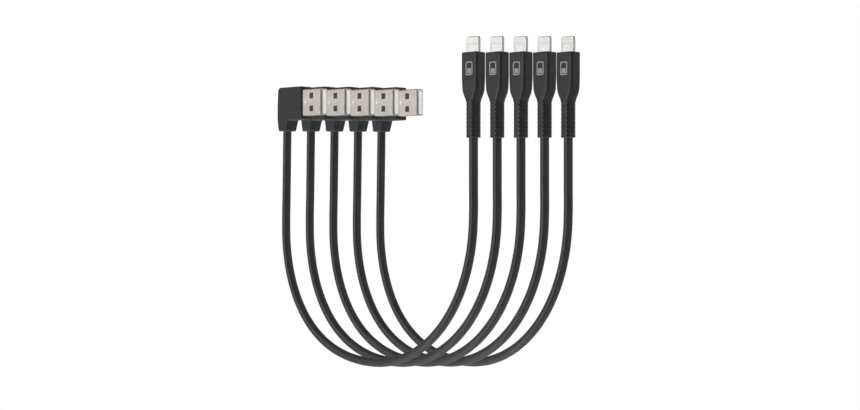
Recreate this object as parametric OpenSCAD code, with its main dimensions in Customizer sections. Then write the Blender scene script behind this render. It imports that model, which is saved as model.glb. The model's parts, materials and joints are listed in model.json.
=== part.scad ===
// A set of short phone charging cables hanging side by side.
// Each one has a right-angle charger plug, a U-shaped cord and a slim phone plug that points up.
// +X is the way the charger plugs point, +Y is across the row, +Z is up. The origin is the middle of
// the shoulder that the middle cable's plug shell comes out of.

/* [Set] */
// Number of cables in the row
cable_count = 5; // [1:1:5]
// Step from one cable to the next, along the charger plugs
row_step_x = 7.4; // [0:0.1:20]
// Step from one cable to the next, across the charger plugs
row_step_y = 8.04; // [7.8:0.02:20]
// Extra turn of each hanging loop about its own stem, for each place along the row, in degrees
loop_swing = 0.79; // [0:0.01:0.8]

/* [Elbow moulding] */
// Length of the moulding behind the shell's shoulder
elbow_len = 16; // [14:0.5:20]
// Height of the moulding above the shell's middle
elbow_up = 7.4; // [6.8:0.1:9]
// Depth of the moulding below the shell's middle
elbow_down = 7.7; // [6.8:0.1:9]
// Thickness of the moulding
elbow_t = 7; // [6:0.1:7.6]
// Rounding of the upright edges
elbow_edge_r = 0.8; // [0.4:0.1:2]
// Rounding of the top back corner
elbow_back_r = 1.8; // [1:0.1:5]
// Distance of the stem's axis behind the shoulder
stem_back = 12.8; // [11:0.1:16]
// Depth of the stem's end below the shell's middle
stem_down = 12.7; // [10:0.1:20]
// Width and thickness of the stem where it leaves the moulding
stem_top = [7.2, 6.8]; // [3:0.1:7.4]
// Width and thickness of the stem at its end
stem_end = [5.4, 6.3]; // [3:0.1:7]
// Rounding of the stem's corners
stem_r = 0.8; // [0.4:0.1:2.4]

/* [Charger plug] */
// Width of the metal shell, across its broad face
shell_h = 12; // [11.9:0.1:12.1]
// Thickness of the metal shell
shell_t = 4.5; // [4.4:0.1:4.6]
// Length of shell outside the moulding
shell_out = 11.2; // [9:0.1:12]
// Length of shell held inside the moulding
shell_in = 7; // [4:0.5:9]
// Sheet thickness of the shell
shell_wall = 0.3; // [0.25:0.05:0.4]
// Distance of the latch windows' middle from the shoulder
window_x = 5.2; // [3:0.1:7]
// Length and height of a latch window
window = [1.8, 2.6]; // [1:0.1:3]
// Height of each window's middle above or below the shell's middle
window_z = 2.9; // [2:0.1:4]
// Thickness of the insulating tongue
tongue_t = 1.95; // [1.7:0.05:2]
// Width of one contact strip
strip_w = 1; // [0.8:0.1:1.4]

/* [Inner moulding] */
// Length, thickness and height of the block over the solder joints
block = [7.2, 5, 10]; // [3:0.1:12]
// Diameter of the block's neck in the stem
neck_d = 3; // [2:0.1:3.6]

/* [Cord] */
// Diameter of the cord
cord_d = 3.85; // [3:0.05:4.2]
// Distance between the two legs of the hanging loop
loop_w = 110; // [80:1:140]
// Depth of the loop's lowest point below the shell's middle, to the cord's middle
loop_down = 116.2; // [100:0.2:140]

/* [Phone plug] */
// Width and thickness of the grip
grip = [8.6, 6.1]; // [5:0.1:9]
// Rounding of the grip's upright edges
grip_r = 1; // [0.5:0.1:2.5]
// Height of the grip's top above the charger shell's middle
grip_top = 16.8; // [14:0.1:20]
// Height of the level where the taper reaches the grip's full width
taper_top = -0.3; // [-2:0.1:4]
// Height of the level where the taper meets the ribbed sleeve
taper_end = -3.9; // [-8:0.1:-2]
// Diameter of the ribbed sleeve
sleeve_d = 6; // [5:0.1:7]
// Height of the sleeve's lower end
sleeve_end = -18.8; // [-24:0.1:-14]
// Number of grooves around the sleeve
groove_count = 9; // [4:1:12]
// Width and depth of one groove
groove = [0.6, 0.35]; // [0.2:0.05:1]

/* [Phone tab] */
// Width of the tab
tab_w = 6.7; // [6.6:0.1:6.8]
// Thickness of the tab
tab_t = 1.5; // [1.4:0.1:1.6]
// Length of tab outside the grip
tab_out = 6.6; // [6:0.1:7]
// Length of tab held inside the grip
tab_in = 4.8; // [3:0.1:6]
// Width and height of the contact window through the tab
tab_window = [5, 3]; // [2:0.1:5.4]
// Height of the contact window above the grip
tab_window_up = 0.6; // [0.4:0.1:1.5]
// Number of contact pads on each face
pad_count = 8; // [2:1:8]
// Width and height of one pad
pad = [0.4, 2.5]; // [0.2:0.05:3]
// Step from one pad to the next
pad_step = 0.6; // [0.5:0.05:0.8]

/* [Hidden] */
KINDS = ["elbow_housing", "inner_block", "plug_shell", "plug_tongue", "plug_contacts", "cord",
         "phone_housing", "circuit_board", "phone_tab", "tab_insert", "tab_contacts"];

home = ceil(cable_count / 2);
eps = 0.01;
overlap = 1;    // how far a cutter, or a shape that joins another, runs past the face it meets
soft = 32;      // sides of a circle inside a hull
round_fn = 64;  // true circles

charcoal = [0.25, 0.25, 0.25];
black = [0.16, 0.16, 0.16];
nickel = [0.76, 0.73, 0.71];
white_metal = [0.93, 0.92, 0.9];
cream = [0.93, 0.91, 0.86];
gold = [0.85, 0.7, 0.4];
green = [0.1, 0.35, 0.2];

// depth of the stem's root inside the moulding, so that the two join
stem_root = 0.7;
// the shell's rounded long edges
shell_r = 0.6;
// the crimp mark beside the shoulder
crimp_d = 1.8;
crimp_x = 1.4;
crimp_depth = 0.12;
// where the insulator stops filling the shell, and how far its tongue stays behind the shell's mouth
filler_x = 0.5;
tongue_short = 0.4;
tongue_end = shell_out - tongue_short;
// the contact strips: start, how far the outer and the inner pair stay behind the tongue's end, height,
// seat and rise
strip_x = 1.5;
strip_short = [0.9, 1.9];
strip_z = [3.5, 1];
strip_seat = 0.2;
strip_rise = 0.05;
// the block's front is against the shell's back end
block_x = -shell_in - block[0];
neck_down = 10.5;

// the cord's own route in the loop's plane: two straight legs, and two curves that meet at the bottom
stem_low = -stem_down;
curve_a = [[-0.8, -56], [-1.35, -86], [14, -loop_down], [54, -loop_down]];
curve_b = [[54, -loop_down], [84, -loop_down], [loop_w, -90], [loop_w, -50]];
curve_rings = 11;
cord_sides = 8;

// the grip's corners lie this far from the plug's axis
corner_reach = norm([grip[0] / 2 - grip_r, grip[1] / 2 - grip_r]) + grip_r;
taper_slope = (grip[0] - sleeve_d) / 2 / (taper_top - taper_end);
corner_top = taper_end + (corner_reach - sleeve_d / 2) / taper_slope;
grip_chamfer = 0.6;
// the hollow round the board
hollow = [6.4, 3.2];
hollow_low = 2.6;
board = [6, 0.8, 9];
chip = [2.6, 0.7, 2.6];
chip_z = 7.6;
tab_low = grip_top - tab_in;
tab_tip = grip_top + tab_out;
tab_corner_r = 1.1;
// the latch dimples: radius, their middle's distance outside the tab's side and below its tip
dimple_r = 0.8;
dimple_out = 0.45;
dimple_down = 2.3;
dimple_z = tab_tip - dimple_down;
insert_t = 1.4;
// how deep a pad sits in the insert, and how far it stands above it
pad_seat = 0.12;
pad_rise = 0.03;

// ---- shared shapes ----

// a rectangle about the origin with round corners
module soft_rect(size, r) {
    square([size[0] - 2 * r, size[1]], center = true);
    square([size[0], size[1] - 2 * r], center = true);
    for (x = [-1, 1], y = [-1, 1])
        translate([x * (size[0] / 2 - r), y * (size[1] / 2 - r)]) circle(r);
}

// from x0 to x1 along X, with the outline's own x across and its own y up
module along_x(x0, x1) {
    translate([x0, 0, 0]) rotate([90, 0, 90]) linear_extrude(x1 - x0) children();
}

// centred on Y, with the outline's own x along X and its own y up
module across_y(t) {
    rotate([90, 0, 0]) linear_extrude(t, center = true) children();
}

// from z0 up to z1
module upright(z0, z1) {
    translate([0, 0, z0]) linear_extrude(z1 - z0) children();
}

module block_between(low, high) {
    translate(low) cube(high - low);
}

// ---- charger plug ----

module shell_blank() {
    along_x(-shell_in, shell_out) soft_rect([shell_t, shell_h], shell_r, $fn = round_fn);
}

module shell_bore(x0, x1) {
    along_x(x0, x1)
        soft_rect([shell_t - 2 * shell_wall, shell_h - 2 * shell_wall], shell_r - shell_wall,
                  $fn = round_fn);
}

module block_shape() {
    block_between([block_x, -block[1] / 2, -block[2] / 2], [-shell_in, block[1] / 2, block[2] / 2]);
    translate([-stem_back, 0, -neck_down])
        cylinder(d = neck_d, h = neck_down - block[2] / 2 + overlap, $fn = round_fn);
}

// the moulding seen from the front: small corners, and a larger one at the top back
module elbow_outline() {
    size = [elbow_len, elbow_up + elbow_down];
    corner = [-elbow_len, elbow_up];
    difference() {
        translate([-size[0] / 2, (elbow_up - elbow_down) / 2]) soft_rect(size, elbow_edge_r);
        difference() {
            translate([corner[0] - overlap, corner[1] - elbow_back_r]) square(elbow_back_r + overlap);
            translate([corner[0] + elbow_back_r, corner[1] - elbow_back_r]) circle(elbow_back_r);
        }
    }
}

module stem() {
    root_x = -elbow_len + stem_top[0] / 2;
    hull() {
        translate([root_x, 0, -elbow_down + stem_root]) linear_extrude(eps)
            soft_rect(stem_top, stem_r, $fn = soft);
        translate([root_x, 0, -elbow_down]) linear_extrude(eps)
            soft_rect(stem_top, stem_r, $fn = soft);
        translate([-stem_back, 0, -stem_down]) linear_extrude(eps)
            soft_rect(stem_end, stem_r, $fn = soft);
    }
}

module elbow_housing() {
    color(charcoal) difference() {
        union() {
            intersection() {
                across_y(elbow_t) elbow_outline($fn = round_fn);
                translate([-elbow_len / 2, 0, 0]) upright(-elbow_down, elbow_up)
                    soft_rect([elbow_len, elbow_t], elbow_edge_r, $fn = round_fn);
            }
            stem();
        }
        shell_blank();
        block_shape();
    }
}

module inner_block() {
    color(black) block_shape();
}

module plug_shell() {
    color(nickel) difference() {
        shell_blank();
        shell_bore(-shell_in - overlap, shell_out + overlap);
        for (z = [-window_z, window_z])
            translate([window_x, 0, z])
                cube([window[0], shell_t + overlap, window[1]], center = true);
        translate([crimp_x, -shell_t / 2 - overlap, 0]) rotate([-90, 0, 0])
            cylinder(d = crimp_d, h = overlap + crimp_depth, $fn = round_fn);
    }
}

// the strips, grown by the seat they sit in
module strips(low_y, high_y) {
    for (i = [0, 1], side = [-1, 1])
        block_between([strip_x, low_y, side * strip_z[i] - strip_w / 2],
                      [tongue_end - strip_short[i], high_y, side * strip_z[i] + strip_w / 2]);
}

module plug_tongue() {
    inner_t = shell_t / 2 - shell_wall;
    color(black) difference() {
        intersection() {
            shell_bore(-shell_in, tongue_end);
            union() {
                block_between([-shell_in - overlap, -shell_t, -shell_h], [filler_x, shell_t, shell_h]);
                block_between([0, inner_t - tongue_t, -shell_h], [shell_out, shell_t, shell_h]);
            }
        }
        strips(inner_t - tongue_t - overlap, inner_t - tongue_t + strip_seat);
    }
}

module plug_contacts() {
    face_y = shell_t / 2 - shell_wall - tongue_t;
    color(gold) strips(face_y - strip_rise, face_y + strip_seat);
}

// ---- cord ----

function bezier(p, t) =
    pow(1 - t, 3) * p[0] + 3 * t * pow(1 - t, 2) * p[1] + 3 * t * t * (1 - t) * p[2] + pow(t, 3) * p[3];

route = concat(
    [[0, stem_low]],
    [for (i = [0:curve_rings]) bezier(curve_a, i / curve_rings)],
    [for (i = [1:curve_rings]) bezier(curve_b, i / curve_rings)],
    [[loop_w, sleeve_end]]);

function heading(pts, i) =
    let (a = pts[max(i - 1, 0)], b = pts[min(i + 1, len(pts) - 1)], d = b - a) d / norm(d);
// an end ring lies square to its leg, which is upright
function ring_heading(pts, i) =
    i == 0 ? [0, -1] : i == len(pts) - 1 ? [0, 1] : heading(pts, i);

module tube(pts, d, sides) {
    n = len(pts);
    rings = [for (i = [0:n - 1]) let (h = ring_heading(pts, i)) [for (j = [0:sides - 1])
        let (a = 360 * (j + 0.5) / sides)
        [pts[i][0] + d / 2 * cos(a) * h[1], d / 2 * sin(a), pts[i][1] - d / 2 * cos(a) * h[0]]]];
    faces = concat(
        [[for (j = [0:sides - 1]) j]],
        [for (i = [0:n - 2], j = [0:sides - 1])
            let (a = i * sides + j, b = i * sides + (j + 1) % sides) [a, a + sides, b]],
        [for (i = [0:n - 2], j = [0:sides - 1])
            let (a = i * sides + j, b = i * sides + (j + 1) % sides) [b, a + sides, b + sides]],
        [[for (j = [sides - 1:-1:0]) (n - 1) * sides + j]]);
    polyhedron([for (r = rings, p = r) p], faces);
}

module cord() {
    color(charcoal) tube(route, cord_d, cord_sides);
}

// ---- phone plug ----

module grip_outline() {
    soft_rect(grip, grip_r, $fn = round_fn);
}

module grip_body() {
    upright(corner_top, grip_top - grip_chamfer) grip_outline();
    hull() {
        upright(grip_top - grip_chamfer - eps, grip_top - grip_chamfer)
            soft_rect(grip, grip_r, $fn = soft);
        upright(grip_top - eps, grip_top)
            soft_rect(grip - 2 * grip_chamfer * [1, 1], grip_r - grip_chamfer / 2, $fn = soft);
    }
    intersection() {
        upright(taper_end, corner_top) grip_outline();
        translate([0, 0, taper_end])
            cylinder(r1 = sleeve_d / 2, r2 = corner_reach, h = corner_top - taper_end, $fn = round_fn);
    }
}

module sleeve() {
    plain_end = 0.5;  // steps left plain below the taper
    rib_step = (taper_end - sleeve_end) / (groove_count + plain_end);
    difference() {
        upright(sleeve_end, taper_end + eps) circle(d = sleeve_d, $fn = round_fn);
        for (i = [1:groove_count])
            upright(sleeve_end + i * rib_step - groove[0] / 2, sleeve_end + i * rib_step + groove[0] / 2)
                difference() {
                    circle(d = sleeve_d + overlap, $fn = round_fn);
                    circle(d = sleeve_d - 2 * groove[1], $fn = round_fn);
                }
    }
}

module tab_blank() {
    intersection() {
        upright(tab_low, tab_tip) {
            square([tab_w - tab_t, tab_t], center = true);
            for (x = [-1, 1]) translate([x * (tab_w - tab_t) / 2, 0]) circle(d = tab_t, $fn = round_fn);
        }
        across_y(tab_t + overlap) translate([0, tab_tip - tab_w])
            soft_rect([tab_w, 2 * tab_w], tab_corner_r, $fn = round_fn);
    }
}

module phone_housing() {
    color(charcoal) difference() {
        union() {
            grip_body();
            sleeve();
        }
        upright(hollow_low, tab_low) square(hollow, center = true);
        tab_blank();
    }
}

module circuit_board() {
    color(green) {
        translate([-board[0] / 2, -board[1] / 2, tab_low - board[2]]) cube(board);
        translate([-chip[0] / 2, -board[1] / 2 - chip[1], chip_z - chip[2] / 2])
            cube([chip[0], chip[1] + board[1] / 2, chip[2]]);
    }
}

module window_shape(t) {
    translate([0, 0, grip_top + tab_window_up + tab_window[1] / 2])
        cube([tab_window[0], t, tab_window[1]], center = true);
}

module phone_tab() {
    color(white_metal) difference() {
        tab_blank();
        window_shape(tab_t + overlap);
        for (x = [-1, 1])
            translate([x * (tab_w / 2 + dimple_out), 0, dimple_z]) sphere(dimple_r, $fn = round_fn);
    }
}

// pads on both faces, from the given depth inside the insert out to the given height above it
module pads(rise) {
    y0 = insert_t / 2 - pad_seat;
    z = grip_top + tab_window_up + tab_window[1] / 2;
    for (i = [0:pad_count - 1], side = [-1, 1])
        translate([(i - (pad_count - 1) / 2) * pad_step, side * (y0 + (pad_seat + rise) / 2), z])
            cube([pad[0], pad_seat + rise, pad[1]], center = true);
}

module tab_insert() {
    color(cream) difference() {
        window_shape(insert_t);
        pads(overlap);
    }
}

module tab_contacts() {
    color(gold) pads(pad_rise);
}

// ---- places ----

module at_cable(k) {
    translate([(k - home) * row_step_x, (k - home) * row_step_y, 0]) children();
}

// the loop's own frame: its origin is on the stem's axis
module at_loop(k) {
    at_cable(k) translate([-stem_back, 0, 0]) rotate([0, 0, -loop_swing * (k - home)]) children();
}

module at_phone(k) {
    at_loop(k) translate([loop_w, 0, 0]) children();
}

for (k = [1:cable_count]) {
    at_cable(k) elbow_housing();
    at_cable(k) inner_block();
    at_cable(k) plug_shell();
    at_cable(k) plug_tongue();
    at_cable(k) plug_contacts();
    at_loop(k) cord();
    at_phone(k) phone_housing();
    at_phone(k) circuit_board();
    at_phone(k) phone_tab();
    at_phone(k) tab_insert();
    at_phone(k) tab_contacts();
}
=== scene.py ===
"""The looks of a row of short phone charging cables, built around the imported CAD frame.

All lengths are in metres. A piece is built in a frame of its own and placed from its CAD nodes:
- the plug frame has its origin in the middle of the shoulder, and +X is the way the plug points;
- the loop frame has its origin on the stem's axis, and +X points at the phone plug;
- the phone frame has its origin on the phone plug's axis, and +X as in the loop frame.
Heights are the row frame's in all three.
"""
import json
import math

import bmesh
import bpy
from mathutils import Matrix, Vector

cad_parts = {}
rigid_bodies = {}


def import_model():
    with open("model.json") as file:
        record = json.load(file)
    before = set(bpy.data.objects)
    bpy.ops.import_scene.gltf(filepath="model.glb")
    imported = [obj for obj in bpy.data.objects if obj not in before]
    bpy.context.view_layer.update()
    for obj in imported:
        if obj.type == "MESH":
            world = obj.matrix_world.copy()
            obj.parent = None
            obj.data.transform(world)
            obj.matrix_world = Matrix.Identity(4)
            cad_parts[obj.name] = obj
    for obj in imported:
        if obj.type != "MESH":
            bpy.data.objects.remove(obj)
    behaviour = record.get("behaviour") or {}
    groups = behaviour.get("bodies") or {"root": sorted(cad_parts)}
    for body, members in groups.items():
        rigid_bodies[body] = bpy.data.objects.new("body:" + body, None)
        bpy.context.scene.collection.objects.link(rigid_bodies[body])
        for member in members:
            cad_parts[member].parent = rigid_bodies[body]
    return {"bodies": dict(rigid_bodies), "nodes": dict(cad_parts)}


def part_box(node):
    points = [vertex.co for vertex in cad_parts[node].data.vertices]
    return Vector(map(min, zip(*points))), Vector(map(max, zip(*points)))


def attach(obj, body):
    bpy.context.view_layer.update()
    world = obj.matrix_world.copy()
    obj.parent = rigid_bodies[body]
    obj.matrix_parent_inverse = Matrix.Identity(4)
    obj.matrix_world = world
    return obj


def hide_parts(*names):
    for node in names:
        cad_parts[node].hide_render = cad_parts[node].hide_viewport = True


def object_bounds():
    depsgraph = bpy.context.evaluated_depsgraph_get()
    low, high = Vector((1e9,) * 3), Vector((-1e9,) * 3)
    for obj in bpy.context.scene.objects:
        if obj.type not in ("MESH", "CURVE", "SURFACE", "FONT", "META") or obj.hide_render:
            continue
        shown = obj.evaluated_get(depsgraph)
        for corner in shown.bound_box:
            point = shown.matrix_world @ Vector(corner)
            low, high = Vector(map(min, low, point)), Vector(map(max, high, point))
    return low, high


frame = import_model()
cad_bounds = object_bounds()

MM = 0.001
CABLES = range(1, len(frame["bodies"]) + 1)
HOME = (len(frame["bodies"]) + 1) // 2

# ---- sizes ----

# The middle cable stands square to the row frame, so its boxes give every piece's size.
ELBOW_LO, ELBOW_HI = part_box(f"elbow_housing_{HOME}")
METAL_LO, METAL_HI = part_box(f"plug_shell_{HOME}")
TONGUE_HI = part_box(f"plug_tongue_{HOME}")[1]
STRIPS_LO, STRIPS_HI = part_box(f"plug_contacts_{HOME}")
PHONE_LO, PHONE_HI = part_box(f"phone_housing_{HOME}")
TAB_LO, TAB_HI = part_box(f"phone_tab_{HOME}")
INSERT_LO, INSERT_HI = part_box(f"tab_insert_{HOME}")
PADS_LO, PADS_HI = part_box(f"tab_contacts_{HOME}")
PHONE_X = (PHONE_LO.x + PHONE_HI.x) / 2
GRIP_HALF_W = (PHONE_HI.x - PHONE_LO.x) / 2
GRIP_HALF_T = (PHONE_HI.y - PHONE_LO.y) / 2

# elbow moulding
STEM_BACK = 12.8 * MM
BODY_LOW = -7.7 * MM
STEM_TOP_W = 7.2 * MM
STEM_END_W = 5.4 * MM
STEM_END_T = 6.3 * MM
ELBOW_RIM = 0.5 * MM
ELBOW_CORNER = 0.6 * MM
ELBOW_BACK_CORNER = 1.8 * MM
BACK_LEAN = 0.45 * MM
LEAN_FROM = -2 * MM
SOFT_BEND = 8 * MM
RIDGE = 0.025 * MM

# metal plug
METAL_WALL = 0.3 * MM
METAL_CORNER = 0.6 * MM
METAL_ROOT = -1.2 * MM
LIP = 0.07 * MM
WINDOW_X = 5.4 * MM
WINDOW_Z = 2.9 * MM
WINDOW_SIZE = (2.5 * MM, 2.7 * MM)
WINDOW_CORNER = 0.15 * MM
WINDOW_RIM = 0.1 * MM
DIMPLE_X = 1.7 * MM
DIMPLE_RADII = (0.6 * MM, 0.85 * MM)
DIMPLE_DEPTH = 0.12 * MM
DIMPLE_BALL = 2.5 * DIMPLE_DEPTH
SEAM = 0.08 * MM
SEAM_DEPTH = 0.12 * MM
TONGUE_GAP = 0.04 * MM
TONGUE_RIM = 0.15 * MM
TONGUE_CORNER = 0.4 * MM
# how far back from its end the tongue is white, and where the painted shade of the plug's mouth has turned
# it grey
WHITE_TO = 0.4 * MM
PAINTED_SHADE_FROM = 1.4 * MM
FILLER_X = 0.5 * MM
FILLER_CORNER = 0.3 * MM
FILLER_OVERLAP = 0.5 * MM
STRIP_W = 1 * MM
STRIP_Z = (3.5 * MM, 1 * MM)
STRIP_END = (9.9 * MM, 8.9 * MM)
STRIP_SINK = 0.2 * MM
STRIP_CORNER = 0.2 * MM
STRIP_RIM = 0.04 * MM

# cord
CORD_D = 3.85 * MM
CORD_TUCK = 0.6 * MM
LOOP_DOWN = -116.2 * MM
LOOP_W = 110 * MM
# the loop's two curves, as control points in the loop frame, the same as in the CAD
CURVE_A = [(-0.0008, -0.056), (-0.00135, -0.086), (0.014, LOOP_DOWN), (0.054, LOOP_DOWN)]
CURVE_B = [(0.054, LOOP_DOWN), (0.084, LOOP_DOWN), (LOOP_W, -0.090), (LOOP_W, -0.050)]
CURVE_POINTS = 11
LEG_POINTS = 3

# phone plug
GRIP_CORNER = 1 * MM
LOW_CORNER = 1.5 * MM
CORNER_GROWS_FROM = 7 * MM
CORNER_GROWS_TO = 1 * MM
GRIP_RIM = 0.5 * MM
GRIP_END_INSET = 0.65 * MM
GRIP_STEPS = 20
TAPER_TOP = -0.3 * MM
TAPER_END = -3.9 * MM
TAPER_BLEND = 0.5 * MM
TAPER_STEPS_FROM = 5 * MM
TAPER_STEPS = 36
CONE_BLEND = 0.4 * MM
SLEEVE_R = 3 * MM
SLEEVE_RIM = 0.3 * MM
SLEEVE_END_INSET = 0.45 * MM
SLOT_ROWS = 18
SLOTS_ROUND = 10
SLOT_DEPTH = 0.16 * MM
SLOTS_FROM = -2.2 * MM
# one row of slots, downwards: shares of the row's height and of the slots' depth
SLOT_PROFILE = ((0.12, 0), (0.26, 0.8), (0.38, 1), (0.62, 1), (0.74, 0.8), (0.88, 0))
# how deep a row is cut between its slots, and how much deeper or shallower at its slots and lands
SLOT_MEAN, SLOT_SWING = 0.55, 0.45
AROUND = 120
RIM_STEPS = 5

# tab
TAB_RIM = 0.4 * MM
TAB_CORNER = 1.1 * MM
TAB_ROOT = 1 * MM
CATCH_R = 0.8 * MM
CATCH_OUT = 0.6 * MM
CATCH_DOWN = 2.3 * MM
TAB_WINDOW_CORNER = 0.35 * MM
TAB_WINDOW_RIM = 0.1 * MM
INSERT_GAP = 0.07 * MM
INSERT_CORNER = 0.3 * MM
INSERT_RIM = 0.1 * MM
PAD_COUNT = 8
PAD_STEP = 0.6 * MM
PAD_W = 0.4 * MM
PAD_CORNER = 0.12 * MM
PAD_SINK = 0.05 * MM
PAD_RIM = 0.015 * MM

# mark on the grip: a plain picture of a phone with a charge bar
MARK_Z = 9.9 * MM
MARK_W = 3.7 * MM
MARK_H = 5.6 * MM
MARK_LINE = 0.5 * MM
MARK_GAP = 0.3 * MM
MARK_CORNER = 0.75 * MM
BAR_H = 0.36 * MARK_H
BAR_CORNER = 0.15 * MM
MARK_SINK = 0.01 * MM
MARK_RISE = 0.015 * MM


# ---- places ----

def plug_frame(k):
    elbow_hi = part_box(f"elbow_housing_{k}")[1]
    low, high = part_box(f"plug_shell_{k}")
    middle = (low + high) / 2
    return Matrix.Translation((elbow_hi.x, middle.y, middle.z))


def across_loop(k):
    """The stem's axis, and the way from it to the phone plug's axis."""
    stem = plug_frame(k) @ Vector((-STEM_BACK, 0, 0))
    low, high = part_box(f"phone_tab_{k}")
    way = (low + high) / 2 - stem
    way.z = 0
    return stem, way


def loop_frame(k):
    stem, way = across_loop(k)
    return Matrix.Translation(stem) @ Matrix.Rotation(math.atan2(way.y, way.x), 4, "Z")


def phone_frame(k):
    return loop_frame(k) @ Matrix.Translation((across_loop(k)[1].length, 0, 0))


# ---- mesh helpers ----

# edges that turn by more degrees than this stay sharp; a mesh that was cut has a lower limit
SHARP = 38
CUT_SHARP = 30


def rounded(corners, steps=6):
    """A closed outline through corners given as (x, y, radius), with an arc at each."""
    outline = []
    for i, (x, y, radius) in enumerate(corners):
        here = Vector((x, y))
        back = (Vector(corners[i - 1][:2]) - here).normalized()
        ahead = (Vector(corners[(i + 1) % len(corners)][:2]) - here).normalized()
        half = back.angle(ahead) / 2
        middle = here + (back + ahead).normalized() * radius / math.sin(half)
        first = here + back * radius / math.tan(half) - middle
        last = here + ahead * radius / math.tan(half) - middle
        start = math.atan2(first.y, first.x)
        turn = math.remainder(math.atan2(last.y, last.x) - start, math.tau)
        for s in range(steps + 1):
            angle = start + turn * s / steps
            outline.append((middle.x + radius * math.cos(angle), middle.y + radius * math.sin(angle)))
    return outline


def rounded_box(low, high, radius, steps=6):
    """An outline, anticlockwise, of a rectangle with rounded corners."""
    corners = [(low[0], low[1]), (high[0], low[1]), (high[0], high[1]), (low[0], high[1])]
    return rounded([(x, y, radius) for x, y in corners], steps)


def inset(outline, depth):
    """An anticlockwise outline moved inwards by depth."""
    moved = []
    for i, (x, y) in enumerate(outline):
        before, after = outline[i - 1], outline[(i + 1) % len(outline)]
        back = Vector((x - before[0], y - before[1])).normalized()
        ahead = Vector((after[0] - x, after[1] - y)).normalized()
        middle = (back + ahead).normalized()
        reach = depth / middle.dot(ahead)
        moved.append((x - middle.y * reach, y + middle.x * reach))
    return moved


def quarter_turn(steps):
    """Sines and cosines from 0 to 90 degrees."""
    angles = [math.pi / 2 * s / steps for s in range(steps + 1)]
    return [(math.sin(angle), math.cos(angle)) for angle in angles]


def prism(outline, low, high, rim, ridge=0.0, steps=4):
    """Rings of a flat moulding from low to high: edges rounded by rim, and a ridge at the parting line.

    A narrow flat band beside each rim keeps the shading of the faces even.
    """
    hold = rim / 6
    side = [(rim + hold, low)]
    side += [(rim * (1 - sine), low + rim * (1 - cosine)) for sine, cosine in quarter_turn(steps)]
    if 2 * (rim + hold) < high - low:
        side.append((0, low + rim + hold))
    other = [(depth, low + high - level) for depth, level in reversed(side)]
    middle = (low + high) / 2
    line = [(0, middle - 3 * ridge), (-ridge, middle), (0, middle + 3 * ridge)] if ridge else []
    return [[(a, b, level) for a, b in inset(outline, depth)] for depth, level in side + line + other]


def across_y(rings):
    """Turns rings so that the outline lies in X and Z, and the thickness along Y."""
    return [[(a, level, b) for a, b, level in ring] for ring in rings]


def skin(bm, rings, joined=False):
    """Adds a solid through the rings: capped at both ends, or with the last ring joined to the first."""
    loops = [[bm.verts.new(point) for point in ring] for ring in rings]
    if joined:
        loops.append(loops[0])
    else:
        bm.faces.new(loops[0])
        bm.faces.new(reversed(loops[-1]))
    for low, high in zip(loops, loops[1:]):
        for i in range(len(low)):
            bm.faces.new((low[i - 1], low[i], high[i], high[i - 1]))


def to_mesh(bm, name):
    bmesh.ops.recalc_face_normals(bm, faces=bm.faces)
    mesh = bpy.data.meshes.new(name)
    bm.to_mesh(mesh)
    bm.free()
    smooth(mesh, SHARP)
    return mesh


def smooth(mesh, sharp):
    mesh.shade_smooth()
    mesh.set_sharp_from_angle(angle=math.radians(sharp))


def solids(name, ring_sets):
    """One mesh that holds one solid for each set of rings."""
    bm = bmesh.new()
    for rings in ring_sets:
        skin(bm, rings)
    return to_mesh(bm, name)


def box_mesh(name, low, high, corner, rim):
    """A block with rounded edges, seen square on along Y."""
    outline = rounded_box((low[0], low[2]), (high[0], high[2]), corner)
    return solids(name, [across_y(prism(outline, low[1], high[1], rim))])


def ball_mesh(name, radius, matrix, rings):
    bm = bmesh.new()
    bmesh.ops.create_uvsphere(bm, u_segments=32, v_segments=rings, radius=radius)
    bmesh.ops.transform(bm, matrix=matrix, verts=bm.verts)
    return to_mesh(bm, name)


def boolean(mesh, cutter, operation="DIFFERENCE"):
    """The mesh with the cutter mesh taken away, or joined to it, worked out in millimetres."""
    scene = bpy.context.scene
    for m in (mesh, cutter):
        m.transform(Matrix.Scale(1 / MM, 4))
    pair = [bpy.data.objects.new("work", m) for m in (mesh, cutter)]
    for o in pair:
        scene.collection.objects.link(o)
    modifier = pair[0].modifiers.new("cut", "BOOLEAN")
    modifier.operation = operation
    modifier.solver = "EXACT"
    modifier.object = pair[1]
    bpy.context.view_layer.update()
    graph = bpy.context.evaluated_depsgraph_get()
    result = bpy.data.meshes.new_from_object(pair[0].evaluated_get(graph))
    for o in pair:
        bpy.data.objects.remove(o)
    result.transform(Matrix.Scale(MM, 4))
    result.name = mesh.name
    bpy.data.meshes.remove(mesh)
    bpy.data.meshes.remove(cutter)
    smooth(result, CUT_SHARP)
    return result


# ---- materials ----

# the part of a noise's range that its values mostly fill
NOISE_LOW, NOISE_HIGH = 0.35, 0.65
# how noise is stretched into lines along an axis
LINES_ALONG_X = (0.08, 1, 1)
LINES_ALONG_Z = (1, 1, 0.1)


def nodes_of(name):
    material = bpy.data.materials.new(name)
    material.use_nodes = True
    tree = material.node_tree
    shader = tree.nodes["Principled BSDF"]
    return material, tree, shader


def noise(tree, scale, stretch=(1, 1, 1), detail=3.0, distortion=0.0):
    """Noise over the piece's own coordinates, with its features stretched along an axis."""
    coordinates = tree.nodes.new("ShaderNodeTexCoord")
    mapping = tree.nodes.new("ShaderNodeMapping")
    mapping.inputs["Scale"].default_value = stretch
    texture = tree.nodes.new("ShaderNodeTexNoise")
    texture.inputs["Scale"].default_value = scale
    texture.inputs["Detail"].default_value = detail
    texture.inputs["Distortion"].default_value = distortion
    tree.links.new(coordinates.outputs["Object"], mapping.inputs["Vector"])
    tree.links.new(mapping.outputs["Vector"], texture.inputs["Vector"])
    return texture.outputs["Fac"]


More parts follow.
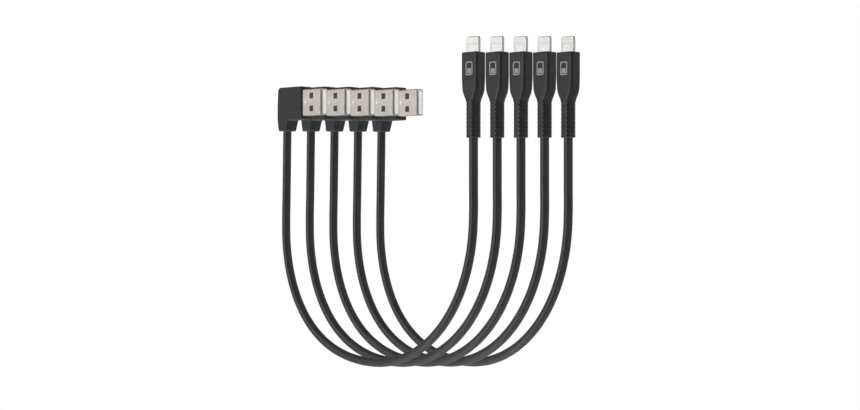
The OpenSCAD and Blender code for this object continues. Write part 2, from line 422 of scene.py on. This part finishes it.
def between(tree, fac, low, high):
    """Maps a noise's middle range onto low to high."""
    node = tree.nodes.new("ShaderNodeMapRange")
    node.inputs["From Min"].default_value = NOISE_LOW
    node.inputs["From Max"].default_value = NOISE_HIGH
    node.inputs["To Min"].default_value = low
    node.inputs["To Max"].default_value = high
    tree.links.new(fac, node.inputs["Value"])
    return node.outputs["Result"]


def tint(tree, fac, dark, light):
    """Colours a noise from dark to light."""
    ramp = tree.nodes.new("ShaderNodeValToRGB")
    first, last = ramp.color_ramp.elements
    first.position, first.color = NOISE_LOW, (*dark, 1)
    last.position, last.color = NOISE_HIGH, (*light, 1)
    tree.links.new(fac, ramp.inputs["Fac"])
    return ramp.outputs["Color"]


def bump(tree, height, distance, strength):
    node = tree.nodes.new("ShaderNodeBump")
    node.inputs["Strength"].default_value = strength
    node.inputs["Distance"].default_value = distance
    tree.links.new(height, node.inputs["Height"])
    return node.outputs["Normal"]


def vector_math(tree, operation, first, second=None):
    """A vector node whose first input is linked, and whose second is a fixed vector."""
    node = tree.nodes.new("ShaderNodeVectorMath")
    node.operation = operation
    tree.links.new(first, node.inputs[0])
    if second is not None:
        node.inputs[1].default_value = second
    return node


def ease(tree, value, start, end, low, high):
    """A soft step from low, where the value is at start, to high, where it is at end."""
    node = tree.nodes.new("ShaderNodeMapRange")
    node.interpolation_type = "SMOOTHSTEP"
    for name, number in (("From Min", start), ("From Max", end), ("To Min", low), ("To Max", high)):
        node.inputs[name].default_value = number
    tree.links.new(value, node.inputs["Value"])
    return node.outputs["Result"]


def arithmetic(tree, operation, first, second):
    node = tree.nodes.new("ShaderNodeMath")
    node.operation = operation
    tree.links.new(first, node.inputs[0])
    tree.links.new(second, node.inputs[1])
    return node.outputs["Value"]


def moulded_rubber():
    """Charcoal moulding compound: spark-eroded grain, and slightly uneven gloss."""
    material, tree, shader = nodes_of("moulded_rubber")
    grain = noise(tree, 3200, detail=4)
    cloud = noise(tree, 260, detail=3)
    tree.links.new(tint(tree, cloud, (0.0045, 0.0045, 0.0046), (0.0105, 0.0103, 0.0104)),
                   shader.inputs["Base Color"])
    tree.links.new(between(tree, noise(tree, 420, detail=4), 0.29, 0.41), shader.inputs["Roughness"])
    tree.links.new(bump(tree, grain, 0.012 * MM, 0.7), shader.inputs["Normal"])
    return material


def jacket():
    """The cord's satin jacket, with the faint lengthwise drag of extrusion."""
    material, tree, shader = nodes_of("cord_jacket")
    grain = noise(tree, 2600, detail=3)
    cloud = noise(tree, 90, detail=2)
    tree.links.new(tint(tree, cloud, (0.0175, 0.0170, 0.0168), (0.0225, 0.0218, 0.0215)),
                   shader.inputs["Base Color"])
    tree.links.new(between(tree, noise(tree, 300, detail=3), 0.33, 0.41), shader.inputs["Roughness"])
    tree.links.new(bump(tree, grain, 0.008 * MM, 0.5), shader.inputs["Normal"])
    return material


def inner_compound():
    """The hidden moulding over the solder joints."""
    material, tree, shader = nodes_of("inner_compound")
    tree.links.new(tint(tree, noise(tree, 500), (0.012, 0.012, 0.012), (0.03, 0.03, 0.03)),
                   shader.inputs["Base Color"])
    shader.inputs["Roughness"].default_value = 0.6
    return material


def sheet_metal(name, dark, light, rough, scratch):
    """Plated sheet metal with fine drawing lines along the way it was rolled."""
    material, tree, shader = nodes_of(name)
    shader.inputs["Metallic"].default_value = 1.0
    lines = noise(tree, 900, stretch=scratch, detail=5)
    cloud = noise(tree, 260, detail=3)
    tree.links.new(tint(tree, cloud, dark, light), shader.inputs["Base Color"])
    tree.links.new(between(tree, lines, rough - 0.03, rough + 0.04), shader.inputs["Roughness"])
    tree.links.new(bump(tree, lines, 0.001 * MM, 0.3), shader.inputs["Normal"])
    return material


def flow(tree):
    """The faint flow pattern of a moulded insulator."""
    return noise(tree, 380, detail=4, distortion=0.4)


def cream_insulator():
    """Pale moulded insulator of the tab."""
    material, tree, shader = nodes_of("cream_insulator")
    tree.links.new(tint(tree, flow(tree), (0.90, 0.87, 0.83), (0.95, 0.92, 0.88)),
                   shader.inputs["Base Color"])
    tree.links.new(between(tree, noise(tree, 1500), 0.36, 0.48), shader.inputs["Roughness"])
    tree.links.new(bump(tree, noise(tree, 4200), 0.006 * MM, 0.4), shader.inputs["Normal"])
    return material


def plug_insulator():
    """White insulator at the mouth's end of the tongue, and painted shade behind it: dark grey for the deep
    shade inside the plug.
    """
    material, tree, shader = nodes_of("white_insulator_painted_shade")
    cloud = flow(tree)
    white = tint(tree, cloud, (0.90, 0.90, 0.89), (0.95, 0.95, 0.94))
    # painted shade: this dark grey stands in for the deep shade inside the plug's mouth
    painted_shade = tint(tree, cloud, (0.09, 0.086, 0.080), (0.13, 0.125, 0.115))
    split = tree.nodes.new("ShaderNodeSeparateXYZ")
    tree.links.new(tree.nodes.new("ShaderNodeTexCoord").outputs["Object"], split.inputs["Vector"])
    end = TONGUE_HI.x
    mix = tree.nodes.new("ShaderNodeMixRGB")
    # the painted shade blends into the white towards the tongue's end
    tree.links.new(ease(tree, split.outputs["X"], end - PAINTED_SHADE_FROM, end - WHITE_TO, 0, 1), mix.inputs["Fac"])
    tree.links.new(painted_shade, mix.inputs["Color1"])
    tree.links.new(white, mix.inputs["Color2"])
    tree.links.new(mix.outputs["Color"], shader.inputs["Base Color"])
    tree.links.new(between(tree, noise(tree, 1500), 0.36, 0.48), shader.inputs["Roughness"])
    return material


def print_ink():
    """Pad-printed grey ink, a little thin in places."""
    material, tree, shader = nodes_of("print_ink")
    patch = noise(tree, 2400, detail=4)
    tree.links.new(tint(tree, patch, (0.29, 0.29, 0.30), (0.34, 0.34, 0.35)),
                   shader.inputs["Base Color"])
    shader.inputs["Roughness"].default_value = 0.55
    return material


def strip_gold_painted_shade():
    """The strips inside the plug: gold, darkened with painted shade for the plug's deep shade."""
    material, tree, shader = nodes_of("strip_gold_painted_shade")
    lines = noise(tree, 900, stretch=LINES_ALONG_X, detail=5)
    # painted shade: gold this dark stands in for the deep shade inside the plug
    tree.links.new(tint(tree, lines, (0.07, 0.05, 0.026), (0.11, 0.08, 0.045)), shader.inputs["Base Color"])
    tree.links.new(between(tree, lines, 0.35, 0.45), shader.inputs["Roughness"])
    return material


def circuit_green():
    """The hidden board in the grip."""
    material, tree, shader = nodes_of("circuit_green")
    tree.links.new(tint(tree, noise(tree, 900), (0.01, 0.06, 0.03), (0.02, 0.11, 0.05)),
                   shader.inputs["Base Color"])
    shader.inputs["Roughness"].default_value = 0.35
    return material


def nickel_plate():
    return sheet_metal("nickel_plate", (0.60, 0.552, 0.512), (0.675, 0.625, 0.58), 0.30, LINES_ALONG_X)


def gold_plate():
    return sheet_metal("gold_plate", (0.84, 0.79, 0.72), (0.89, 0.84, 0.77), 0.30, LINES_ALONG_X)


def bright_plate():
    return sheet_metal("bright_plate", (0.71, 0.705, 0.70), (0.76, 0.755, 0.75), 0.33, LINES_ALONG_Z)


MATERIALS = {
    "moulding": moulded_rubber(),
    "cord_jacket": jacket(),
    "inner_mould": inner_compound(),
    "plug_metal": nickel_plate(),
    "plug_insulator": plug_insulator(),
    "contact_gold": gold_plate(),
    # the strips' gold, darkened with painted shade
    "strip": strip_gold_painted_shade(),
    "board": circuit_green(),
    "tab_metal": bright_plate(),
    "tab_insulator": cream_insulator(),
    "print": print_ink(),
}


# ---- pieces ----

def elbow_mesh():
    """The right-angle moulding: a block whose back leans in a little, and a stem flush with its faces."""
    back, top, low = ELBOW_LO.x, ELBOW_HI.z, ELBOW_LO.z
    end_back = -STEM_BACK - STEM_END_W / 2
    outline = rounded([
        (ELBOW_HI.x, BODY_LOW, ELBOW_CORNER),
        (ELBOW_HI.x, top, ELBOW_CORNER),
        (back + BACK_LEAN, top, ELBOW_BACK_CORNER),
        (back, LEAN_FROM, SOFT_BEND),
        (back, BODY_LOW, SOFT_BEND),
        (end_back, low, ELBOW_CORNER),
        (end_back + STEM_END_W, low, ELBOW_CORNER),
        (back + STEM_TOP_W, BODY_LOW, ELBOW_CORNER),
    ])
    bm = bmesh.new()
    skin(bm, across_y(prism(outline, ELBOW_LO.y, ELBOW_HI.y, ELBOW_RIM, RIDGE)))
    geometry = bm.verts[:] + bm.edges[:] + bm.faces[:]
    bmesh.ops.bisect_plane(bm, geom=geometry, plane_co=(0, 0, BODY_LOW), plane_no=(0, 0, 1))
    thinner = 1 - STEM_END_T / (ELBOW_HI.y - ELBOW_LO.y)
    for vertex in bm.verts:
        down = max(0, (BODY_LOW - vertex.co.z) / (BODY_LOW - low))
        vertex.co.y *= 1 - thinner * down
    return to_mesh(bm, "elbow_moulding")


def metal_ring(x, depth):
    """The metal's section at x, moved inwards by depth."""
    outline = rounded_box((METAL_LO.y, METAL_LO.z), (METAL_HI.y, METAL_HI.z), METAL_CORNER)
    return [(x, y, z) for y, z in inset(outline, depth)]


def metal_mesh():
    """The folded metal: a thin-walled box with four latch windows, a punched dimple and a seam behind."""
    mouth = METAL_HI.x
    outer = [(METAL_ROOT, 0), (mouth - LIP, 0), (mouth - 0.3 * LIP, 0.3 * LIP), (mouth, LIP)]
    inner = [(x, METAL_WALL - depth) for x, depth in reversed(outer)]
    bm = bmesh.new()
    skin(bm, [metal_ring(x, depth) for x, depth in outer + inner], joined=True)
    mesh = to_mesh(bm, "metal_plug")
    for cutter in (window_cutter(-1), window_cutter(1), dimple_cutter(), seam_cutter()):
        mesh = boolean(mesh, cutter)
    return mesh


def window_cutter(side):
    """A bar through both walls, which cuts a front and a back window."""
    low = (WINDOW_X - WINDOW_SIZE[0] / 2, 2 * METAL_LO.y, side * WINDOW_Z - WINDOW_SIZE[1] / 2)
    high = (WINDOW_X + WINDOW_SIZE[0] / 2, 2 * METAL_HI.y, side * WINDOW_Z + WINDOW_SIZE[1] / 2)
    return box_mesh("window", low, high, WINDOW_CORNER, WINDOW_RIM)


def dimple_cutter():
    """A squashed ball that sinks into the front by the dimple's depth, where it has the dimple's radii."""
    wide = 1 / math.sqrt(1 - (1 - DIMPLE_DEPTH / DIMPLE_BALL) ** 2)
    at = Matrix.Translation((DIMPLE_X, METAL_LO.y - DIMPLE_BALL + DIMPLE_DEPTH, 0))
    size = Matrix.Diagonal((DIMPLE_RADII[0] * wide, DIMPLE_BALL, DIMPLE_RADII[1] * wide, 1))
    return ball_mesh("dimple", 1, at @ size, rings=24)


def seam_cutter():
    """A thin blade for the groove where the folded metal meets, along the back."""
    low = (2 * METAL_ROOT, METAL_HI.y - SEAM_DEPTH, -SEAM / 2)
    high = (2 * METAL_HI.x, METAL_HI.y + SEAM_DEPTH, SEAM / 2)
    return box_mesh("seam", low, high, SEAM / 3, SEAM / 5)


def tongue_mesh():
    """The insulator: a tongue against the far wall, and the block that it grows from."""
    face = STRIPS_HI.y - STRIP_SINK
    bore = METAL_WALL + TONGUE_GAP
    top = METAL_HI.z - bore
    low, high = (METAL_ROOT, face, -top), (TONGUE_HI.x, METAL_HI.y - bore, top)
    tongue = box_mesh("plug_insulator", low, high, TONGUE_CORNER, TONGUE_RIM)
    low, high = (METAL_ROOT, METAL_LO.y + bore, -top), (FILLER_X, face + FILLER_OVERLAP, top)
    filler = box_mesh("filler", low, high, FILLER_CORNER, TONGUE_RIM)
    return boolean(tongue, filler, "UNION")


def strip_mesh():
    """The four contact strips, the middle two a little shorter."""
    sets = []
    for middle, end in zip(STRIP_Z, STRIP_END):
        for side in (-1, 1):
            low = (STRIPS_LO.x, side * middle - STRIP_W / 2)
            high = (end, side * middle + STRIP_W / 2)
            outline = rounded_box(low, high, STRIP_CORNER)
            sets.append(across_y(prism(outline, STRIPS_LO.y, STRIPS_HI.y, STRIP_RIM)))
    return solids("contact_strips", sets)


def box_reach(angle, half_w, half_t, corner):
    """How far a rounded rectangle's edge is from its middle, at an angle."""
    c, s = abs(math.cos(angle)), abs(math.sin(angle))
    if c * (half_t - corner) >= s * half_w:
        return half_w / c
    if s * (half_w - corner) >= c * half_t:
        return half_t / s
    u, v = half_w - corner, half_t - corner
    along = c * u + s * v
    return along + math.sqrt(max(0, along * along - u * u - v * v + corner * corner))


def smooth_min(a, b, blend):
    """The smaller of two lengths, with a soft change between them."""
    near = max(blend - abs(a - b), 0) / blend
    return min(a, b) - near * near * blend / 4


def cone_reach(z):
    """The taper's radius: the sleeve's below it, growing evenly above."""
    slope = (GRIP_HALF_W - SLEEVE_R) / (TAPER_TOP - TAPER_END)
    grown = SLEEVE_R + slope * (z - TAPER_END)
    return -smooth_min(-grown, -SLEEVE_R, CONE_BLEND)


def grip_corner(z):
    """The radius of the grip's upright edges, which grow softer towards the taper."""
    share = (CORNER_GROWS_FROM - z) / (CORNER_GROWS_FROM - CORNER_GROWS_TO)
    share = min(max(share, 0), 1)
    return GRIP_CORNER + (LOW_CORNER - GRIP_CORNER) * share * share * (3 - 2 * share)


def grip_ring(z, depth=0.0, cut=0.0, turn=0.0):
    """A section of the grip or sleeve, moved inwards by depth, with slots cut into it by cut."""
    ring = []
    for i in range(AROUND):
        angle = math.tau * (i + 0.5) / AROUND
        box = box_reach(angle, GRIP_HALF_W - depth, GRIP_HALF_T - depth, grip_corner(z) - depth)
        reach = smooth_min(box, cone_reach(z) - depth, TAPER_BLEND)
        reach -= cut * (SLOT_MEAN + SLOT_SWING * math.cos(SLOTS_ROUND * (angle - turn)))
        ring.append((reach * math.cos(angle), reach * math.sin(angle), z))
    return ring


def levels(start, end, count):
    """Even steps from start to end, without start itself."""
    return [start + (end - start) * s / count for s in range(1, count + 1)]


def slot_rings(high, low):
    """The sleeve's rows of slots, each row turned by half a slot from the last."""
    rings = []
    pitch = (high - low) / SLOT_ROWS
    for row in range(SLOT_ROWS):
        turn = math.pi / SLOTS_ROUND * (row % 2)
        for share, cut in SLOT_PROFILE:
            rings.append(grip_ring(high - (row + share) * pitch, 0, cut * SLOT_DEPTH, turn))
    return rings


def grip_mesh():
    """The grip with its taper, and the sleeve with its staggered slots, from the top down."""
    shoulder = PHONE_HI.z - GRIP_RIM
    slots_to = PHONE_LO.z + SLEEVE_RIM
    quarter = quarter_turn(RIM_STEPS)
    rings = [grip_ring(PHONE_HI.z, GRIP_END_INSET)]
    rings += [grip_ring(shoulder + GRIP_RIM * cosine, GRIP_RIM * (1 - sine)) for sine, cosine in quarter]
    rings += [grip_ring(z) for z in levels(shoulder, TAPER_STEPS_FROM, GRIP_STEPS)]
    rings += [grip_ring(z) for z in levels(TAPER_STEPS_FROM, SLOTS_FROM, TAPER_STEPS)]
    rings += slot_rings(SLOTS_FROM, slots_to)
    rings += [grip_ring(slots_to - SLEEVE_RIM * sine, SLEEVE_RIM * (1 - cosine)) for sine, cosine in quarter]
    rings.append(grip_ring(PHONE_LO.z, SLEEVE_END_INSET))
    return solids("grip_and_sleeve", [rings])


def tab_mesh():
    """The slim metal tab: rounded all round, with a contact window through it and a catch in each side."""
    half = (TAB_HI.x - TAB_LO.x) / 2
    outline = rounded_box((-half, PHONE_HI.z - TAB_ROOT), (half, TAB_HI.z), TAB_CORNER)
    mesh = solids("tab_body", [across_y(prism(outline, TAB_LO.y, TAB_HI.y, TAB_RIM, steps=6))])
    low = (INSERT_LO.x - PHONE_X, 2 * TAB_LO.y, INSERT_LO.z)
    high = (INSERT_HI.x - PHONE_X, 2 * TAB_HI.y, INSERT_HI.z)
    mesh = boolean(mesh, box_mesh("window", low, high, TAB_WINDOW_CORNER, TAB_WINDOW_RIM))
    for side in (-1, 1):
        at = Matrix.Translation((side * (half + CATCH_OUT), 0, TAB_HI.z - CATCH_DOWN))
        mesh = boolean(mesh, ball_mesh("catch", CATCH_R, at, rings=20))
    return mesh


def insert_mesh():
    """The insulator in the tab's window, with a hair's gap round it."""
    low = (INSERT_LO.x - PHONE_X + INSERT_GAP, INSERT_LO.y, INSERT_LO.z + INSERT_GAP)
    high = (INSERT_HI.x - PHONE_X - INSERT_GAP, INSERT_HI.y, INSERT_HI.z - INSERT_GAP)
    return box_mesh("tab_insulator", low, high, INSERT_CORNER, INSERT_RIM)


def pads_mesh():
    """The tab's contact pads, a row on each face."""
    sets = []
    for i in range(PAD_COUNT):
        middle = (i - (PAD_COUNT - 1) / 2) * PAD_STEP
        low, high = (middle - PAD_W / 2, PADS_LO.z), (middle + PAD_W / 2, PADS_HI.z)
        outline = rounded_box(low, high, PAD_CORNER, 3)
        for side in (-1, 1):
            inner, outer = side * (INSERT_HI.y - PAD_SINK), side * PADS_HI.y
            rings = prism(outline, min(inner, outer), max(inner, outer), PAD_RIM, steps=2)
            sets.append(across_y(rings))
    return solids("tab_pads", sets)


def mark_mesh():
    """The printed picture: a phone's outline and its charge bar."""
    sunk, raised = PHONE_LO.y + MARK_SINK, PHONE_LO.y - MARK_RISE
    half_w, low, high = MARK_W / 2, MARK_Z - MARK_H / 2, MARK_Z + MARK_H / 2
    outer = rounded_box((-half_w, low), (half_w, high), MARK_CORNER)
    inner = inset(outer, MARK_LINE)
    bm = bmesh.new()
    edges = ((outer, sunk), (outer, raised), (inner, raised), (inner, sunk))
    skin(bm, [[(x, y, z) for x, z in outline] for outline, y in edges], joined=True)
    margin = MARK_LINE + MARK_GAP
    bar = rounded_box((margin - half_w, low + margin), (half_w - margin, low + margin + BAR_H), BAR_CORNER)
    skin(bm, [[(x, y, z) for x, z in bar] for y in (sunk, raised)])
    return to_mesh(bm, "grip_mark")


# ---- camera and cords ----

CAMERA_AT = (0.4846, -0.49357, -0.04685)
CAMERA_TURN = math.radians(41.59)
CAMERA_LENS = 62.93


def make_camera():
    data = bpy.data.cameras.new("camera")
    data.sensor_fit = "HORIZONTAL"
    data.sensor_width = 36
    data.lens = CAMERA_LENS
    data.clip_start = 0.01
    camera = bpy.data.objects.new("camera", data)
    camera.location = CAMERA_AT
    camera.rotation_euler = (math.pi / 2, 0, CAMERA_TURN)
    bpy.context.scene.collection.objects.link(camera)
    bpy.context.scene.camera = camera


def bezier(points, t):
    """A point on the curve through four control points."""
    shares = ((1 - t) ** 3, 3 * t * (1 - t) ** 2, 3 * t * t * (1 - t), t ** 3)
    return Vector([sum(share * p[i] for share, p in zip(shares, points)) for i in (0, 1)])


def cord_route():
    """The cord's line in the loop frame as (x, z): down a leg, round the two curves and up the other leg."""
    start, end = Vector((0, ELBOW_LO.z + CORD_TUCK)), Vector((LOOP_W, PHONE_LO.z + CORD_TUCK))
    curve_start, curve_end = Vector(CURVE_A[0]), Vector(CURVE_B[-1])
    route = [start.lerp(curve_start, i / LEG_POINTS) for i in range(LEG_POINTS)]
    route += [bezier(CURVE_A, i / CURVE_POINTS) for i in range(CURVE_POINTS)]
    route += [bezier(CURVE_B, i / CURVE_POINTS) for i in range(CURVE_POINTS)]
    route += [curve_end.lerp(end, i / LEG_POINTS) for i in range(LEG_POINTS + 1)]
    return route


def unreflected(piece, shades=False):
    """Keeps a piece out of reflections and, unless it shades, out of the soft light between pieces.

    So each cable is lit as if it stood alone.
    """
    piece.visible_glossy = False
    piece.visible_diffuse = shades


def make_cord(k):
    data = bpy.data.curves.new(f"jacketed_cord_{k}", "CURVE")
    data.dimensions = "3D"
    data.bevel_depth = CORD_D / 2
    data.bevel_resolution = 7
    data.resolution_u = 6
    data.use_fill_caps = True
    spline = data.splines.new("BEZIER")
    route = cord_route()
    spline.bezier_points.add(len(route) - 1)
    to_row = loop_frame(k)
    for knot, (x, z) in zip(spline.bezier_points, route):
        knot.co = to_row @ Vector((x, 0, z))
        knot.handle_left_type = knot.handle_right_type = "AUTO"
    data.materials.append(MATERIALS["cord_jacket"])
    cord = bpy.data.objects.new(f"jacketed_cord_{k}", data)
    bpy.context.scene.collection.objects.link(cord)
    unreflected(cord)
    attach(cord, f"cable_{k}")
    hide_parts(f"cord_{k}")
    return cord


def declare_cord(k):
    route = cord_route()
    start = loop_frame(k) @ Vector((0, 0, ELBOW_LO.z))


# ---- assembly ----

# these keep soft light out of the plug's mouth
SHADING_PIECES = ("metal_plug", "plug_insulator")


def place(name, mesh, matrix, k, slot, *nodes):
    """A piece of cable k that stands for its CAD nodes."""
    piece = bpy.data.objects.new(f"{name}_{k}", mesh)
    bpy.context.scene.collection.objects.link(piece)
    piece.matrix_world = matrix
    unreflected(piece, name in SHADING_PIECES)
    if not mesh.materials:
        mesh.materials.append(MATERIALS[slot])
    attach(piece, f"cable_{k}")
    if nodes:
        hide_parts(*[f"{node}_{k}" for node in nodes])
    return piece


def even_shading(piece):
    """Keeps the flat faces of cut metal flat-looking round their holes."""
    modifier = piece.modifiers.new("even_shading", "WEIGHTED_NORMAL")
    modifier.keep_sharp = True


def painted(mesh, material):
    """A mesh that has a material of its own instead of its slot's."""
    mesh.materials.append(MATERIALS[material])
    return mesh


def paint_hidden_nodes(k):
    """The two pieces inside the mouldings stay as CAD made them."""
    for node, slot in (("inner_block", "inner_mould"), ("circuit_board", "board")):
        piece = frame["nodes"][f"{node}_{k}"]
        piece.data.materials.clear()
        piece.data.materials.append(MATERIALS[slot])
        unreflected(piece)


def make_cables():
    cords = {k: make_cord(k) for k in CABLES}
    plug_pieces = (
        ("elbow_moulding", elbow_mesh(), "moulding", "elbow_housing"),
        ("metal_plug", metal_mesh(), "plug_metal", "plug_shell"),
        ("plug_insulator", tongue_mesh(), "plug_insulator", "plug_tongue"),
        # the strips wear their own material: gold darkened with painted shade
        ("contact_strips", painted(strip_mesh(), "strip"), "contact_gold", "plug_contacts"))
    phone_pieces = (
        ("grip_and_sleeve", grip_mesh(), "moulding", "phone_housing"),
        ("tab_body", tab_mesh(), "tab_metal", "phone_tab"),
        ("tab_insulator", insert_mesh(), "tab_insulator", "tab_insert"),
        ("tab_pads", pads_mesh(), "contact_gold", "tab_contacts"),
        ("grip_mark", mark_mesh(), "print"))
    for k in CABLES:
        for name, mesh, slot, *nodes in plug_pieces:
            piece = place(name, mesh, plug_frame(k), k, slot, *nodes)
            if name == "metal_plug":
                even_shading(piece)
        carried = [place(name, mesh, phone_frame(k), k, slot, *nodes)
                   for name, mesh, slot, *nodes in phone_pieces]
        paint_hidden_nodes(k)
        declare_cord(k)


# ---- stage ----

FLOOR_Z = -0.42
FLOOR_SIZE = 3.2
FLOOR_OWN_LIGHT = 0.7


def make_floor():
    bm = bmesh.new()
    bmesh.ops.create_grid(bm, x_segments=8, y_segments=8, size=FLOOR_SIZE / 2)
    mesh = bpy.data.meshes.new("floor")
    bm.to_mesh(mesh)
    bm.free()
    material, tree, shader = nodes_of("floor")
    tree.links.new(tint(tree, noise(tree, 30), (0.86, 0.86, 0.86), (0.89, 0.89, 0.89)),
                   shader.inputs["Base Color"])
    shader.inputs["Roughness"].default_value = 0.8
    shader.inputs["Emission Color"].default_value = (1, 1, 1, 1)
    shader.inputs["Emission Strength"].default_value = FLOOR_OWN_LIGHT
    mesh.materials.append(material)
    floor = bpy.data.objects.new("floor", mesh)
    floor.location.z = FLOOR_Z
    unreflected(floor)
    bpy.context.scene.collection.objects.link(floor)


def heading(turn):
    """A level direction, turned round the object from the camera's side."""
    angle = CAMERA_TURN - math.pi / 2 + math.radians(turn)
    return math.cos(angle), math.sin(angle), 0


def soft_box(name, turn, distance, height, width, radiance):
    """A square soft light turned round the object from the camera's side, aimed at the object's middle."""
    low, high = cad_bounds
    middle = (low + high) / 2
    at = middle + Vector(heading(turn)) * distance + Vector((0, 0, height))
    data = bpy.data.lights.new(name, "AREA")
    data.shape = "SQUARE"
    data.size = width
    data.energy = radiance * math.pi * width * width
    light = bpy.data.objects.new(name, data)
    light.location = at
    light.rotation_mode = "QUATERNION"
    light.rotation_quaternion = (middle - at).to_track_quat("-Z", "Y")
    light.visible_camera = light.visible_glossy = False
    bpy.context.scene.collection.objects.link(light)


# upright soft panels: name, turn from the camera's side, half its full width and half its faded width in
# degrees, and brightness
PANELS = (
    ("key", -97, 12, 24, 0.68),
    ("strip", -61, 4, 15, 3.0),
    ("fill", 66, 40, 88, 0.36),
    ("back", 180, 30, 80, 0.25),
)
# brightness high up as a share of a panel's, and the light that comes from all round, above and below
PANELS_HIGH_UP = 0.25
AROUND_LIGHT = 0.1
TOP_LIGHT = 0.15
GROUND_LIGHT = 0.6
# the heights of a direction, from -1 straight down to 1 straight up, over which each of them changes
PANELS_FADE = (0.3, 0.8)
TOP_GROWS = (0.3, 0.9)
GROUND_GROWS = (-0.4, -0.85)
# lamps: name, turn from the camera's side, distance, height, width and brightness
LAMPS = (
    ("top", 180, 0.3, 1.5, 1.6, 0.35),
    ("high_right", 48, 0.9, 1.1, 1.0, 4.3),
)


def panel_light(tree, way):
    """The panels' light from a direction, by its bearing alone."""
    flat = vector_math(tree, "MULTIPLY", way, (1, 1, 0)).outputs[0]
    level = vector_math(tree, "NORMALIZE", flat).outputs[0]
    total = None
    for _, turn, full, faded, brightness in PANELS:
        across = vector_math(tree, "DOT_PRODUCT", level, heading(turn)).outputs["Value"]
        start, end = math.cos(math.radians(faded)), math.cos(math.radians(full))
        panel = ease(tree, across, start, end, 0, brightness)
        total = arithmetic(tree, "ADD", total, panel) if total else panel
    return total


def surroundings(tree):
    """The light from every direction: the panels, dimmer high up, a soft top, and a bright ground."""
    way = tree.nodes.new("ShaderNodeTexCoord").outputs["Generated"]
    up = vector_math(tree, "DOT_PRODUCT", way, (0, 0, 1)).outputs["Value"]
    fade = ease(tree, up, *PANELS_FADE, 1, PANELS_HIGH_UP)
    panels = arithmetic(tree, "MULTIPLY", panel_light(tree, way), fade)
    light = arithmetic(tree, "ADD", panels, ease(tree, up, *TOP_GROWS, AROUND_LIGHT, TOP_LIGHT))
    return arithmetic(tree, "ADD", light, ease(tree, up, *GROUND_GROWS, 0, GROUND_LIGHT))


def make_world():
    """White where the camera sees it, and the surroundings' light for everything else."""
    world = bpy.data.worlds.new("world")
    bpy.context.scene.world = world
    world.use_nodes = True
    world.cycles.sampling_method = "NONE"
    tree = world.node_tree
    path = tree.nodes.new("ShaderNodeLightPath")
    seen = tree.nodes.new("ShaderNodeMapRange")
    seen.inputs["To Max"].default_value = 1.0
    tree.links.new(path.outputs["Is Camera Ray"], seen.inputs["Value"])
    tree.links.new(surroundings(tree), seen.inputs["To Min"])
    background = tree.nodes["Background"]
    background.inputs["Color"].default_value = (1, 1, 1, 1)
    tree.links.new(seen.outputs["Result"], background.inputs["Strength"])


def make_lights():
    make_world()
    for name, *values in LAMPS:
        soft_box(name, *values)


make_camera()
make_cables()
make_floor()
make_lights()
bpy.context.scene.view_settings.view_transform = "Standard"
